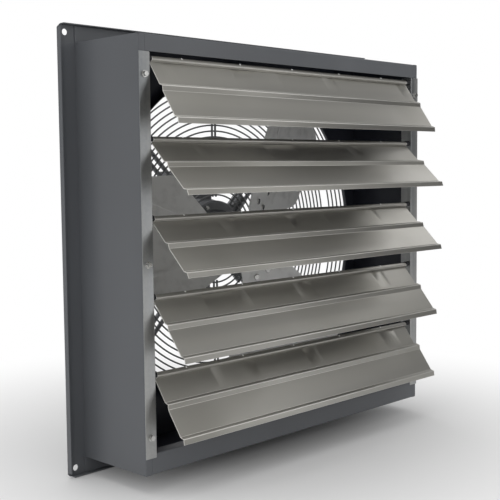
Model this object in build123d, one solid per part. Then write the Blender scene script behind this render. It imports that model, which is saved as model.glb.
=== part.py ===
from build123d import *
import os
from math import asin, cos, degrees, hypot, radians, sin, sqrt

# Wall box. The origin is on the fan axis, in the plane where the box walls meet the wall flange.
# X is to the right, Y runs from the louvers into the room, Z is up.
box_width = 700.0
box_height = 660.0
box_depth = 157.0
sheet = 1.6
seam_gap = 0.3
seat_gap = 0.02

# Front face of the box
top_face_height = 25.5
bottom_face_height = 32.0
corner_face_width = 12.0
side_return_width = 17.5
ledge_depth = 22.0
face_bevel = 3.0

# Wall flange and its bolt holes
flange_side = 32.0
flange_top = 28.0
lip_depth = 9.0
flange_corner_cut = 7.0
wall_hole_radius = 5.0
wall_hole_inset_x = 14.5
wall_hole_inset_z = 13.0

# Orifice, turned from the panel towards the louvers
throat_radius = 310.6
bell_radius = 16.0

# Shutter channels at both sides
channel_sheet = 1.2
channel_face_width = 21.0
channel_depth = 23.2
channel_rear_width = 16.0
channel_height = 608.0

# Self-drilling hex screws
screw_radius = 2.0
screw_length = 10.0
screw_washer_radius = 5.2
screw_washer = 0.9
screw_head_radius = 4.2
screw_head = 4.2
screw_clearance = 0.1
channel_screw_inset = 10.0
channel_screw_shares = (-0.447, -0.016, 0.446)

# Louvers: a rolled top edge round a rod, a stiffening rib half way, a lip at the lower edge
louver_count = 5
louver_pitch = 118.5
louver_pivot_drop = 34.4
louver_pivot_inset = 5.6
louver_end_clearance = 3.0
louver_sheet = 0.9
louver_roll_radius = 3.4
louver_length = 117.0
louver_rib_height = 4.8
louver_lip_height = 5.6
louver_end_notch = 6.0
louver_left_setback = 3.0
louver_right_setback = 8.0
louver_angles = (34.5, 46.5, 45.0, 38.5, 35.5)
shoulder_share = 0.378
rib_start_share = 0.393
rib_crest_share = 0.438
rib_end_share = 0.497
lip_start_share = 0.884
lip_crest_share = 0.933
rod_radius = 2.4
rod_fit = 0.06

# Bushings that carry the louver rods
bushing_radius = 4.6
bushing_neck_radius = 3.5
bushing_collar_radius = 4.1
bushing_collar = 1.8
bushing_end_gap = 0.8
bushing_fit = 0.05

# Propeller: three wide cambered blades on a cast spider
blade_count = 3
blade_first_angle = 62.0
blade_pitch_angle = 20.0
blade_plane_y = -29.0
blade_tip_gap = 6.6
blade_sheet = 2.0
blade_lead_half = 131.0
blade_trail_half = 87.0
blade_camber_radius = 640.0
blade_corner_radius = 30.0
blade_shoulder_radius = 34.0
blade_lead_shares = ((0.158, 0.27), (0.214, 0.31), (0.434, 1.0))
blade_trail_shares = ((0.57, 1.0), (0.23, 0.56), (0.158, 0.48))
crease_width = 7.0
crease_height = 1.2
crease_start_radius = 122.0
crease_end_radius = 252.0
crease_angles = (24.0, -9.0)
spider_arm = 5.0
spider_arm_half = 23.0
spider_arm_length = 118.0
hub_radius = 27.0
hub_front = 20.0
hub_rear = 34.0
rivet_radius = 3.0
rivet_head_radius = 5.6
rivet_head = 2.4
rivet_near = 74.0
rivet_far = 104.0
rivet_half_spread = 13.0
rivet_seat = 0.05
set_screw_radius = 4.0
set_screw_length = 12.0
set_screw_socket_radius = 2.0
set_screw_socket = 6.0

# Motor outside the guard, its front end level with the guard's end plane
motor_radius = 72.0
motor_front_y = 51.0
motor_rear_y = 207.0
motor_shell_wall = 2.0
bell_rim = 15.0
bell_spigot = 6.0
bell_spigot_wall = 8.9
bell_recess = 6.0
bell_web = 6.0
bell_web_radius = 52.0
bell_rim_radius = 56.0
bell_edge = 3.5
bell_boss_radius = 25.0
bell_boss = 7.0
bell_pocket_wall = 6.0
bell_pocket_lead = 4.0
shaft_radius = 7.94
shaft_front_y = -55.0
shaft_end_gap = 1.0
shaft_fit = 0.06
bell_bore_gap = 0.6
bearing_radius = 20.0
bearing_width = 12.0
stator_length = 60.0
stator_bore = 46.0
air_gap = 0.6
winding_length = 14.0
winding_inset_share = 0.11
end_ring_length = 7.0
end_ring_inset = 3.0
through_bolt_circle = 64.0
through_bolt_radius = 2.2
through_bolt_head_radius = 4.2
through_bolt_head = 3.4
through_bolt_tail = 2.4
through_bolt_count = 4
through_bolt_first_angle = 22.5

# Motor clamp band and the four pairs of support rods
band_wall = 2.8
band_width = 22.0
band_setback = 27.0
band_slot = 6.0
band_lug_height = 20.0
band_lug = 3.0
band_bolt_radius = 3.0
band_bolt_head_radius = 5.8
band_bolt_head = 4.4
support_rod_radius = 4.0
support_rod_spacing = 16.0
support_bend_radius = 22.0
support_foot_clearance = 4.4
support_foot_length = 34.0
support_foot_width = 52.0
support_foot_plate = 3.0
support_tab_plate = 3.0
support_tab_length = 37.2
support_tab_width = 32.0
support_rod_inset = 0.8
foot_bolt_radius = 3.4
foot_bolt_head_radius = 6.4
foot_bolt_head = 4.6
foot_bolt_tail = 3.4

# Guard: a basket of rings on four twin struts
guard_wire_radius = 1.5
guard_depth = 51.4
guard_motor_gap = 10.7
guard_ring_count = 22
guard_side_inset = 4.6
guard_corner = 12.5
guard_side_ring_count = 4
strut_wire_radius = 2.0
strut_spacing = 8.0
strut_inner_run = 3.7
strut_bend_radius = 6.0
strut_foot_run = 20.0
weld_gap = 0.05
clip_length = 12.0
clip_width = 26.0
clip_plate = 2.0
clip_setback = 7.5
guard_screw_radius = 1.7
guard_screw_head_radius = 4.4
guard_screw_head = 3.4
guard_screw_tail = 5.0

# Wiring box on top of the motor
conduit_half_width = 40.0
conduit_front_y = 107.0
conduit_rear_y = 172.0
conduit_top_z = 127.0
conduit_wall = 1.6
conduit_floor = 4.0
cover_overhang = 2.0
cover_tab = 12.0
cover_tab_plate = 4.0
cover_screw_radius = 2.0
cover_screw_length = 9.0
cover_screw_head_radius = 3.8
cover_screw_head = 2.6
gland_radius = 11.0
gland_neck_radius = 8.0
gland_bore = 4.5
gland_length = 17.0
gland_nut = 4.0
gland_z_share = 0.45

overrun = 5.0

# Worked out from the dimensions above
half_width = box_width / 2
half_height = box_height / 2
face_y = -box_depth
face_back_y = face_y + sheet
flange_half_x = half_width + flange_side
flange_half_z = half_height + flange_top
channel_inner_x = half_width - channel_face_width
louver_half_length = channel_inner_x - louver_end_clearance
channel_web_x = channel_inner_x + channel_sheet
channel_face_y = face_y - channel_sheet
channel_rear_y = channel_face_y + channel_depth
ledge_top_z = -half_height + bottom_face_height
channel_foot_z = ledge_top_z + seam_gap
pivot_y = face_y + louver_pivot_inset
pivot_top_z = half_height - louver_pivot_drop
pivot_heights = [pivot_top_z - louver_pitch * i for i in range(louver_count)]
rod_half_length = channel_web_x + bushing_collar - seam_gap
louver_roll_left = louver_left_setback - louver_half_length
louver_roll_right = louver_half_length - louver_right_setback
shell_bore = motor_radius - motor_shell_wall
bearing_front_y = motor_front_y - bell_boss + bell_web
bearing_rear_y = motor_rear_y + bell_boss - bell_web - bearing_width
motor_mid_y = (motor_front_y + motor_rear_y) / 2
stator_front_y = motor_mid_y - stator_length / 2
stator_rear_y = motor_mid_y + stator_length / 2
shaft_rear_y = bearing_rear_y + bearing_width - shaft_end_gap
band_front_y = motor_front_y + band_setback
band_rear_y = band_front_y + band_width
band_radius = motor_radius + band_wall
blade_tip_radius = throat_radius - blade_tip_gap
bell_outer_radius = throat_radius + bell_radius
guard_end_y = sheet + guard_depth
guard_ring_first = motor_radius + guard_motor_gap
guard_side_radius = bell_outer_radius - guard_side_inset
guard_ring_pitch = (guard_side_radius - guard_corner - guard_ring_first) / (guard_ring_count - 1)
strut_inner_radius = guard_ring_first - strut_inner_run
strut_y = guard_end_y + guard_wire_radius + strut_wire_radius + weld_gap
strut_side_radius = guard_side_radius + guard_wire_radius + strut_wire_radius + weld_gap
strut_foot_y = sheet + strut_wire_radius + weld_gap
strut_foot_radius = strut_side_radius + strut_foot_run
support_rod_y = guard_end_y + guard_wire_radius + support_rod_radius + weld_gap
support_tab_y = support_rod_y + support_rod_radius
support_foot_y = sheet + support_foot_plate
support_foot_radius = bell_outer_radius + support_foot_clearance + support_foot_length / 2
support_tab_radius = band_radius + support_tab_length
support_rod_inner = band_radius + support_tab_plate - support_rod_inset
support_angles = {"upper_right": 45, "upper_left": 135, "lower_left": 225, "lower_right": 315}
camber_mid = (blade_lead_half - blade_trail_half) / 2


def span(x0, x1, y0, y1, z0, z1):
    """Box between two opposite corners, given in any order."""
    size = (abs(x1 - x0), abs(y1 - y0), abs(z1 - z0))
    middle = Vector(x0 + x1, y0 + y1, z0 + z1) / 2
    return Pos(*middle) * Box(*size)


def post(radius, y0, y1, x=0, z=0):
    """Cylinder along Y from y0 to y1."""
    middle = Pos(x, (y0 + y1) / 2, z)
    return middle * Rot(90, 0, 0) * Cylinder(radius, abs(y1 - y0))


def bar(radius, x0, x1, y=0, z=0):
    """Cylinder along X from x0 to x1."""
    middle = Pos((x0 + x1) / 2, y, z)
    return middle * Rot(0, 90, 0) * Cylinder(radius, abs(x1 - x0))


def hex_post(across_radius, y0, y1, x=0, z=0):
    """Hexagonal prism along Y from y0 to y1."""
    outline = Plane.XZ * RegularPolygon(across_radius, 6)
    return Pos(x, y1, z) * extrude(outline, amount=y1 - y0)


def turned(points):
    """Solid of revolution about the fan axis from (radius, y) points."""
    return revolve(make_face(Polyline(*points, close=True)), Axis.Y)


def around(shape, angle):
    """Shape turned about the fan axis, from +X towards +Z."""
    return Rot(0, -angle, 0) * shape


def folded(points, thickness):
    """Face of a folded sheet: the outer polyline and its mitred offset."""
    inner = []
    for index, (x, y) in enumerate(points):
        normals = []
        for start, end in ((index - 1, index), (index, index + 1)):
            if start < 0 or end >= len(points):
                continue
            step_x = points[end][0] - points[start][0]
            step_y = points[end][1] - points[start][1]
            run = hypot(step_x, step_y)
            normals.append((step_y / run, -step_x / run))
        if len(normals) == 1:
            normals = normals * 2
        (ax, ay), (bx, by) = normals
        mitre = thickness / (1 + ax * bx + ay * by)
        inner.append((x + mitre * (ax + bx), y + mitre * (ay + by)))
    return make_face(Polyline(*points, *reversed(inner), close=True))


def save(name, *solids):
    """One STEP file for a node, with one solid or a group of them."""
    bodies = [body for shape in solids for body in shape.solids()]
    shape = bodies[0] if len(bodies) == 1 else Compound(children=bodies)
    shape.label = name
    export_step(shape, f"parts/{name}.step")


def screw(x, z, y_seat, head_side):
    """Hex washer head screw along Y, with its head on the given side of the seat."""
    washer_y = y_seat + head_side * screw_washer
    head_y = washer_y + head_side * screw_head
    low, high = sorted((washer_y, head_y))
    shank = post(screw_radius, y_seat, y_seat - head_side * screw_length, x, z)
    washer = post(screw_washer_radius, y_seat, washer_y, x, z)
    return shank + washer + hex_post(screw_head_radius, low, high, x, z)


def channel_screw_places():
    """Screws down both channels, as X and Z."""
    for side in (-1, 1):
        for share in channel_screw_shares:
            yield side * (half_width - channel_screw_inset), share * channel_height


def side_panel(side):
    """Box side wall with its return at the front and its wall flange at the back."""
    outer = side * half_width
    wall = span(outer - side * sheet, outer, face_back_y, 0, -half_height, half_height)
    corner = span(outer - side * corner_face_width, outer, face_y, face_back_y, -half_height, half_height)
    return_low = -half_height + bottom_face_height + seam_gap
    return_high = half_height - top_face_height - seam_gap
    inner = outer - side * side_return_width
    front_return = span(inner, outer, face_y, face_back_y, return_low, return_high)
    flange_edge = side * (flange_half_x - sheet - seam_gap)
    flange = span(outer - side * sheet, flange_edge, -sheet, 0, -half_height, half_height)
    panel = wall + corner + front_return + flange
    for x, z in channel_screw_places():
        panel -= post(screw_radius + screw_clearance, face_y - overrun, face_back_y + overrun, x, z)
    bevel = Plane.XZ * make_face(
        Polyline(
            (outer, half_height),
            (outer - side * face_bevel, half_height),
            (outer, half_height - face_bevel),
            close=True,
        )
    )
    return panel - Pos(0, face_back_y, 0) * extrude(bevel, amount=sheet)


def deck(side, face_height):
    """Top or bottom wall of the box with its front face and its wall flange."""
    outer = side * half_height
    reach = half_width - sheet
    wall = span(-reach, reach, face_back_y, 0, outer - side * sheet, outer)
    face_reach = half_width - corner_face_width - seam_gap
    face = span(-face_reach, face_reach, face_y, face_back_y, outer - side * face_height, outer)
    flange_edge = side * (flange_half_z - sheet - seam_gap)
    flange = span(-half_width, half_width, -sheet, 0, outer - side * sheet, flange_edge)
    trim = span(-half_width, half_width, -sheet, 0, outer - side * sheet, outer)
    inside = span(-reach, reach, -sheet, 0, outer - side * sheet, outer)
    panel = wall + face + (flange - (trim - inside))
    return panel - post(guard_screw_radius + screw_clearance, -overrun, overrun, 0, side * clip_radius())


def bottom_panel():
    """Bottom wall, whose front face folds in to a ledge."""
    reach = channel_inner_x - ledge_side_gap()
    ledge = span(-reach, reach, face_y, face_y + ledge_depth, ledge_top_z - sheet, ledge_top_z)
    return deck(-1, bottom_face_height) + ledge


def ledge_side_gap():
    """Room between the ledge's ends and the channels."""
    return channel_sheet + seam_gap


def orifice_panel():
    """Flange panel with forward lips, corner holes and the bell-mouthed orifice."""
    cut = flange_corner_cut
    outline = Rectangle(2 * flange_half_x, 2 * flange_half_z)
    outline = chamfer(outline.vertices().sort_by(Axis.Y)[-2:], cut)
    outline = fillet(outline.vertices().sort_by(Axis.Y)[:2], cut)
    panel = Pos(0, sheet, 0) * extrude(Plane.XZ * outline, amount=sheet)
    panel -= post(bell_outer_radius, -overrun, sheet + overrun)
    mouth = (bell_outer_radius, sheet - bell_radius)
    room_side = CenterArc(mouth, bell_radius, 90, 90)
    box_side = CenterArc(mouth, bell_radius - sheet, 90, 90)
    rim = Line(room_side @ 1, box_side @ 1)
    root = Line(room_side @ 0, box_side @ 0)
    panel += revolve(make_face([room_side, rim, box_side, root]), Axis.Y)
    reach_x = flange_half_x - cut
    reach_z = flange_half_z - cut
    for side in (-1, 1):
        edge_x = side * flange_half_x
        edge_z = side * flange_half_z
        panel += span(edge_x - side * sheet, edge_x, -lip_depth, sheet, -reach_z, reach_z)
        panel += span(-reach_x, reach_x, -lip_depth, sheet, edge_z - side * sheet, edge_z)
    for x, z in wall_hole_places():
        panel -= post(wall_hole_radius, -overrun, sheet + overrun, x, z)
    for angle in support_angles.values():
        x, z = polar(support_foot_radius, angle)
        for side in (-1, 1):
            bolt = around(post(foot_bolt_radius + screw_clearance, -overrun, sheet + overrun,
                               support_foot_radius, side * support_bolt_half()), angle)
            panel -= bolt
    for angle in strut_angles():
        panel -= around(post(guard_screw_radius + screw_clearance, -overrun, sheet + overrun,
                             clip_radius()), angle)
    return panel


def polar(radius, angle):
    """X and Z of a point at a radius and an angle from +X towards +Z."""
    return radius * cos(radians(angle)), radius * sin(radians(angle))


def wall_hole_places():
    """The four corner holes of the wall flange, as X and Z."""
    for side_x in (-1, 1):
        for side_z in (-1, 1):
            yield side_x * (flange_half_x - wall_hole_inset_x), side_z * (flange_half_z - wall_hole_inset_z)


def support_bolt_half():
    """Half the distance between the two bolts of a support foot, outside its rods."""
    return (support_foot_width / 2 + support_rod_spacing / 2 + support_rod_radius) / 2


def strut_angles():
    """Directions of the guard's twin struts."""
    return range(0, 360, 90)


def clip_radius():
    """Distance of the guard's clip screws from the axis."""
    return strut_foot_radius - clip_setback


def shutter_channel(side):
    """Side channel of the shutter: face strip, web with the bushing holes, rear flange."""
    half = channel_height / 2
    inner = side * channel_inner_x
    strip = span(inner, side * half_width, channel_face_y, face_y, -half, half)
    web = span(inner, side * channel_web_x, channel_face_y, channel_rear_y, channel_foot_z, half)
    rear_edge = inner + side * channel_rear_width
    rear = span(inner, rear_edge, channel_rear_y - channel_sheet, channel_rear_y, channel_foot_z, half)
    channel = strip + web + rear
    for x, z in channel_screw_places():
        channel -= post(screw_radius + screw_clearance, channel_face_y - overrun, face_y + overrun, x, z)
    for z in pivot_heights:
        hole = bushing_neck_radius + bushing_fit
        channel -= bar(hole, inner - side * overrun, side * (channel_web_x + overrun), pivot_y, z)
    return channel


def bushing(side, z):
    """Flanged bushing in the channel's web, open to the rod."""
    inner_end = louver_roll_left - bushing_end_gap if side < 0 else louver_roll_right + bushing_end_gap
    web_inner = side * channel_inner_x
    web_outer = side * channel_web_x
    collar_end = web_outer + side * bushing_collar
    body = bar(bushing_radius, inner_end, web_inner, pivot_y, z)
    body += bar(bushing_neck_radius, web_inner, web_outer, pivot_y, z)
    body += bar(bushing_collar_radius, web_outer, collar_end, pivot_y, z)
    return body - bar(rod_radius + rod_fit, 0, collar_end + side * overrun, pivot_y, z)


def louver_point(index, along, out):
    """Point of a louver's section: distance along the blade and out from its pivot."""
    angle = radians(louver_angles[index])
    y = pivot_y - along * sin(angle) - out * cos(angle)
    z = pivot_heights[index] - along * cos(angle) + out * sin(angle)
    return y, z


def louver_part(index, profile, left, right):
    """Part of a louver's sheet: a section along its blade, from one X to the other."""
    section = [louver_point(index, along, out) for along, out in profile]
    face = Plane.YZ * folded(section, louver_sheet)
    return Pos(left, 0, 0) * extrude(face, amount=right - left)


def louver_blade(index):
    """Louver blade from one sheet: top roll, narrower shoulder, rib, flat and lip."""
    base = -louver_roll_radius
    shoulder = louver_length * shoulder_share
    profile = [
        (shoulder, base),
        (louver_length * rib_start_share, base),
        (louver_length * rib_crest_share, base + louver_rib_height),
        (louver_length * rib_end_share, base),
        (louver_length * lip_start_share, base),
        (louver_length * lip_crest_share, base + louver_lip_height),
        (louver_length, base),
    ]
    blade = louver_part(index, profile, -louver_half_length, louver_half_length)
    flat = [(louver_end_notch, base), (shoulder, base)]
    blade += louver_part(index, flat, -louver_half_length, louver_roll_right)
    neck = [(0, base), (louver_end_notch, base)]
    blade += louver_part(index, neck, louver_roll_left, louver_roll_right)
    roll = bar(louver_roll_radius, louver_roll_left, louver_roll_right, pivot_y, pivot_heights[index])
    bore = bar(louver_roll_radius - louver_sheet, -half_width, half_width, pivot_y, pivot_heights[index])
    return (blade + roll) - bore


def louver_rod(index):
    """Pivot rod through the louver's roll, carried by a bushing at each end."""
    return bar(rod_radius, -rod_half_length, rod_half_length, pivot_y, pivot_heights[index])


def blade_plane(index):
    """Plane of a blade: X outwards, Y to the leading edge, Z to the motor."""
    angle = radians(blade_first_angle + index * 360 / blade_count)
    pitch = radians(blade_pitch_angle)
    outward = (cos(angle), 0, sin(angle))
    normal = (-sin(pitch) * sin(angle), cos(pitch), sin(pitch) * cos(angle))
    return Plane(origin=(0, blade_plane_y, 0), x_dir=outward, z_dir=normal)


def camber_band(low, high):
    """Slab between two offsets from the blade's front surface, along the whole blade."""
    centre = (camber_mid, -blade_camber_radius)
    half_span = degrees(asin((blade_lead_half + blade_trail_half) / 2 / blade_camber_radius))
    sweep_angle = 3 * half_span
    start = 90 - sweep_angle / 2
    outer = CenterArc(centre, blade_camber_radius + high, start, sweep_angle)
    inner = CenterArc(centre, blade_camber_radius + low, start, sweep_angle)
    ends = [Line(outer @ 0, inner @ 0), Line(outer @ 1, inner @ 1)]
    band = make_face([outer, inner, *ends])
    return extrude(Plane.YZ * band, amount=blade_tip_radius + overrun)


def through_blade(face):
    """Prism through the blade's whole thickness, from a face in its plane."""
    return extrude(face, amount=blade_lead_half, both=True)


def crease_face(angle):
    """Outline of a radial crease, at an angle from the blade's axis."""
    middle = (crease_start_radius + crease_end_radius) / 2
    length = crease_end_radius - crease_start_radius
    return Rot(0, 0, angle) * Pos(middle, 0) * SlotOverall(length, crease_width)


def propeller_blade(index):
    """Cambered sheet blade with two creases, in place on the fan."""
    far = blade_tip_radius + overrun
    lead = [(x * blade_tip_radius, y * blade_lead_half) for x, y in blade_lead_shares]
    trail = [(x * blade_tip_radius, -y * blade_trail_half) for x, y in blade_trail_shares]
    tip = [(far, blade_lead_half), (far, -blade_trail_half)]
    outline = make_face(Polyline(*lead, *tip, *trail, close=True))
    outline = outline & Ellipse(blade_tip_radius, blade_tip_radius / cos(radians(blade_pitch_angle)))
    by_reach = outline.vertices().sort_by(Axis.X)
    outline = fillet(by_reach[-2:], blade_corner_radius)
    outline = fillet(outline.vertices().sort_by(Axis.X)[4:6], blade_shoulder_radius)
    blade = through_blade(outline) & camber_band(0, blade_sheet)
    for angle in crease_angles:
        blade += through_blade(crease_face(angle)) & camber_band(-crease_height, seat_gap)
    for place in rivet_places():
        blade -= place * Cylinder(rivet_radius + seat_gap, blade_tip_radius)
    return blade_plane(index) * blade


def rivet_places():
    """Rivets through a blade and its arm, square to the blade's front surface."""
    for x in (rivet_near, rivet_far):
        for y in (-rivet_half_spread, rivet_half_spread):
            tilt = degrees(asin((camber_mid - y) / blade_camber_radius))
            yield Pos(x, camber_mid, -blade_camber_radius) * Rot(tilt, 0, 0) * Pos(0, 0, blade_camber_radius)


def spider_arm_solid(index):
    """Arm behind a blade, curved to lie against it."""
    outline = Pos(spider_arm_length / 2, 0) * Rectangle(spider_arm_length, 2 * spider_arm_half)
    arm = through_blade(outline) & camber_band(blade_sheet, blade_sheet + spider_arm)
    for place in rivet_places():
        arm -= place * Cylinder(rivet_radius + seat_gap, blade_tip_radius)
    return blade_plane(index) * arm


def propeller_spider():
    """Cast hub with three arms, bored for the shaft and two set screws."""
    hub = post(hub_radius, blade_plane_y - hub_front, blade_plane_y + hub_rear)
    for index in range(blade_count):
        hub += spider_arm_solid(index)
    hub -= post(shaft_radius + seat_gap, blade_plane_y - hub_front - overrun, motor_front_y)
    for angle in set_screw_angles():
        hub -= around(bar(set_screw_radius, 0, hub_radius + overrun, set_screw_y()), angle)
    return hub


def set_screw_angles():
    """Two set screws, opposite each other."""
    return blade_first_angle, blade_first_angle + 180


def set_screw_y():
    """Set screws sit in the hub's rear half, behind the arms."""
    return blade_plane_y + hub_rear - 2 * set_screw_radius


def set_screw(angle):
    """Socket set screw, flush in the hub and tight on the shaft."""
    inner = shaft_radius + seat_gap
    body = bar(set_screw_radius - seat_gap, inner, inner + set_screw_length, set_screw_y())
    socket = Plane.YZ * RegularPolygon(set_screw_socket_radius, 6)
    floor = inner + set_screw_length - set_screw_socket
    socket = Pos(floor, set_screw_y(), 0) * extrude(socket, amount=set_screw_socket)
    return around(body - socket, angle)


def rivet(index, place):
    """Rivet with a head on both sides of the blade and arm."""
    front = -rivet_seat
    back = blade_sheet + spider_arm + rivet_seat
    body = Pos(0, 0, (front + back) / 2) * Cylinder(rivet_radius, back - front)
    body += Pos(0, 0, front - rivet_head / 2) * Cylinder(rivet_head_radius, rivet_head)
    body += Pos(0, 0, back + rivet_head / 2) * Cylinder(rivet_head_radius, rivet_head)
    return blade_plane(index) * place * body


def motor_bell(face, inward, bore):
    """End bell: rim, recessed web, bearing boss and a spigot into the shell."""
    boss_face = face - inward * bell_boss
    web_face = face + inward * bell_recess
    web_back = web_face + inward * bell_web
    pocket = boss_face + inward * bell_web
    rim_back = face + inward * bell_rim
    spigot_back = rim_back + inward * bell_spigot
    spigot_inner = shell_bore - bell_spigot_wall
    pocket_radius = bearing_radius + seat_gap
    pocket_wall = bearing_radius + bell_pocket_wall
    pocket_back = pocket + inward * (bearing_width + bell_pocket_lead)
    points = [
        (bore, boss_face),
        (bell_boss_radius, boss_face),
        (bell_boss_radius, web_face),
        (bell_web_radius, web_face),
        (bell_rim_radius, face),
        (motor_radius - bell_edge, face),
        (motor_radius, face + inward * bell_edge),
        (motor_radius, rim_back),
        (shell_bore - seat_gap, rim_back),
        (shell_bore - seat_gap, spigot_back),
        (spigot_inner, spigot_back),
        (spigot_inner, web_back),
        (pocket_wall, web_back),
        (pocket_wall, pocket_back),
        (pocket_radius, pocket_back),
        (pocket_radius, pocket),
        (bore, pocket),
    ]
    bell = turned(points)
    for angle in through_bolt_angles():
        x, z = polar(through_bolt_circle, angle)
        bell -= post(through_bolt_radius + screw_clearance, face - inward * overrun,
                     spigot_back + inward * overrun, x, z)
    return bell


def through_bolt_angles():
    """Through bolts between the support rods' directions."""
    return [through_bolt_first_angle + index * 360 / through_bolt_count for index in range(through_bolt_count)]


def tube(outer, inner, y0, y1):
    """Tube about the fan axis."""
    return post(outer, y0, y1) - post(inner, y0 - overrun, y1 + overrun)


def motor_shell():
    """Rolled shell between the two end bells."""
    return tube(motor_radius, shell_bore, motor_front_y + bell_rim, motor_rear_y - bell_rim)


def stator_core():
    """Laminated core, notched for the through bolts."""
    core = tube(shell_bore - seat_gap, stator_bore, stator_front_y, stator_rear_y)
    for angle in through_bolt_angles():
        x, z = polar(through_bolt_circle, angle)
        core -= post(through_bolt_radius + screw_clearance, stator_front_y - overrun,
                     stator_rear_y + overrun, x, z)
    return core


def winding(y0, y1):
    """End turns of the stator winding, as one bundled ring."""
    depth = shell_bore - stator_bore
    outer = shell_bore - bell_spigot_wall - seam_gap
    inner = stator_bore + depth * winding_inset_share
    ring = tube(outer, inner, y0, y1)
    return fillet(ring.edges().filter_by(GeomType.CIRCLE), depth * winding_inset_share)


def bearing(y0):
    """Sealed ball bearing, running on the shaft."""
    return tube(bearing_radius, shaft_radius + shaft_fit, y0, y0 + bearing_width)


def rotor_core():
    """Rotor laminations with a cast ring at each end."""
    outer = stator_bore - air_gap
    core = post(outer, stator_front_y, stator_rear_y)
    core += post(outer - end_ring_inset, stator_front_y - end_ring_length, stator_rear_y + end_ring_length)
    return core - post(shaft_radius + seat_gap, motor_front_y, motor_rear_y)


def through_bolt(angle):
    """Long bolt through both bells, with a hex head in front."""
    x, z = polar(through_bolt_circle, angle)
    tail = motor_rear_y + through_bolt_head + through_bolt_tail
    bolt = post(through_bolt_radius, motor_front_y, tail, x, z)
    return bolt + hex_post(through_bolt_head_radius, motor_front_y - through_bolt_head, motor_front_y, x, z)


def through_nut(angle):
    """Nut of a through bolt on the rear bell."""
    x, z = polar(through_bolt_circle, angle)
    nut = hex_post(through_bolt_head_radius, motor_rear_y, motor_rear_y + through_bolt_head, x, z)
    return nut - post(through_bolt_radius + seat_gap, motor_rear_y - overrun,
                      motor_rear_y + through_bolt_head + overrun, x, z)


def clamp_band():
    """Split band round the motor with two lugs below."""
    band = tube(band_radius, motor_radius + seat_gap, band_front_y, band_rear_y)
    slot = band_slot / 2
    for side in (-1, 1):
        lug = span(side * slot, side * (slot + band_lug), band_front_y, band_rear_y,
                   -motor_radius - band_wall / 2, -band_radius - band_lug_height)
        band += lug
    band -= span(-slot, slot, band_front_y - overrun, band_rear_y + overrun, -motor_radius / 2,
                 -band_radius - band_lug_height - overrun)
    bolt_reach = slot + band_lug + overrun
    band -= bar(band_bolt_radius + screw_clearance, -bolt_reach, bolt_reach, band_mid_y(), band_bolt_z())
    for angle in support_angles.values():
        band -= around(bar(screw_radius + screw_clearance, motor_radius / 2, band_radius + overrun,
                           band_screw_y()), angle)
    return band


def band_mid_y():
    """Middle of the clamp band."""
    return (band_front_y + band_rear_y) / 2


def band_screw_y():
    """Row of the radial screws that hold the support tabs to the band."""
    return band_mid_y()


def band_bolt_z():
    """Height of the bolt that draws the lugs together."""
    return -band_radius - band_lug_height / 2


def band_bolt():
    """Clamp bolt across the lugs, with its nut."""
    outer = band_slot / 2 + band_lug
    y, z = band_mid_y(), band_bolt_z()
    bolt = bar(band_bolt_radius, -outer, outer + band_bolt_head + band_bolt_radius, y, z)
    head = Plane.YZ * RegularPolygon(band_bolt_head_radius, 6)
    bolt += Pos(-outer - band_bolt_head, y, z) * extrude(head, amount=band_bolt_head)
    nut = Pos(outer, y, z) * extrude(head, amount=band_bolt_head)
    nut -= bar(band_bolt_radius + seat_gap, 0, outer + band_bolt_head + overrun, y, z)
    return bolt, nut


def swept(points, radius, bend):
    """Round bar bent along points."""
    path = FilletPolyline(*points, radius=bend)
    start = Plane(origin=path @ 0, z_dir=path % 0)
    return sweep(start * Circle(radius), path=path)


def motor_support(angle):
    """Pair of bent rods welded to a foot on the panel and a tab on the clamp band."""
    foot_half = support_foot_length / 2
    support = span(support_foot_radius - foot_half, support_foot_radius + foot_half, sheet, support_foot_y,
                   -support_foot_width / 2, support_foot_width / 2)
    for side in (-1, 1):
        z = side * support_rod_spacing / 2
        points = [
            (support_rod_inner, support_rod_y, z),
            (support_foot_radius, support_rod_y, z),
            (support_foot_radius, support_foot_y - support_foot_plate / 2, z),
        ]
        support += swept(points, support_rod_radius, support_bend_radius)
        support -= post(foot_bolt_radius + screw_clearance, 0, support_foot_y + overrun,
                        support_foot_radius, side * support_bolt_half())
    half = support_tab_width / 2
    tab_low = support_tab_y - support_rod_radius / 2
    support += span(band_radius + support_tab_plate / 2, support_tab_radius, tab_low,
                    support_tab_y + support_tab_plate, -half, half)
    leg = tube(band_radius + seat_gap + support_tab_plate, band_radius + seat_gap, tab_low, band_rear_y)
    support += leg & span(0, 2 * band_radius, tab_low, band_rear_y, -half, half)
    support -= bar(screw_radius + screw_clearance, motor_radius, support_tab_radius, band_screw_y())
    return around(support, angle)


def support_bolt(angle, side):
    """Foot bolt, its head on the room side of the panel."""
    z = side * support_bolt_half()
    tail = -foot_bolt_head - foot_bolt_tail
    bolt = post(foot_bolt_radius, tail, support_foot_y, support_foot_radius, z)
    bolt += hex_post(foot_bolt_head_radius, support_foot_y, support_foot_y + foot_bolt_head,
                     support_foot_radius, z)
    return around(bolt, angle)


def support_nut(angle, side):
    """Nut of a foot bolt, inside the box."""
    z = side * support_bolt_half()
    nut = hex_post(foot_bolt_head_radius, -foot_bolt_head, 0, support_foot_radius, z)
    nut -= post(foot_bolt_radius + seat_gap, -foot_bolt_head - overrun, overrun, support_foot_radius, z)
    return around(nut, angle)


def band_screw(angle):
    """Radial screw that holds a support tab to the clamp band."""
    seat = band_radius + seat_gap + support_tab_plate + seat_gap
    head = Plane.YZ * RegularPolygon(screw_head_radius, 6)
    body = Pos(seat, band_screw_y(), 0) * extrude(head, amount=screw_head)
    body += bar(screw_radius, motor_radius + 2 * seat_gap, seat, band_screw_y())
    return around(body, angle)


def guard_ring(radius, y):
    """Closed wire ring about the fan axis."""
    return Pos(0, y, 0) * Rot(90, 0, 0) * Torus(radius, guard_wire_radius)


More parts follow.
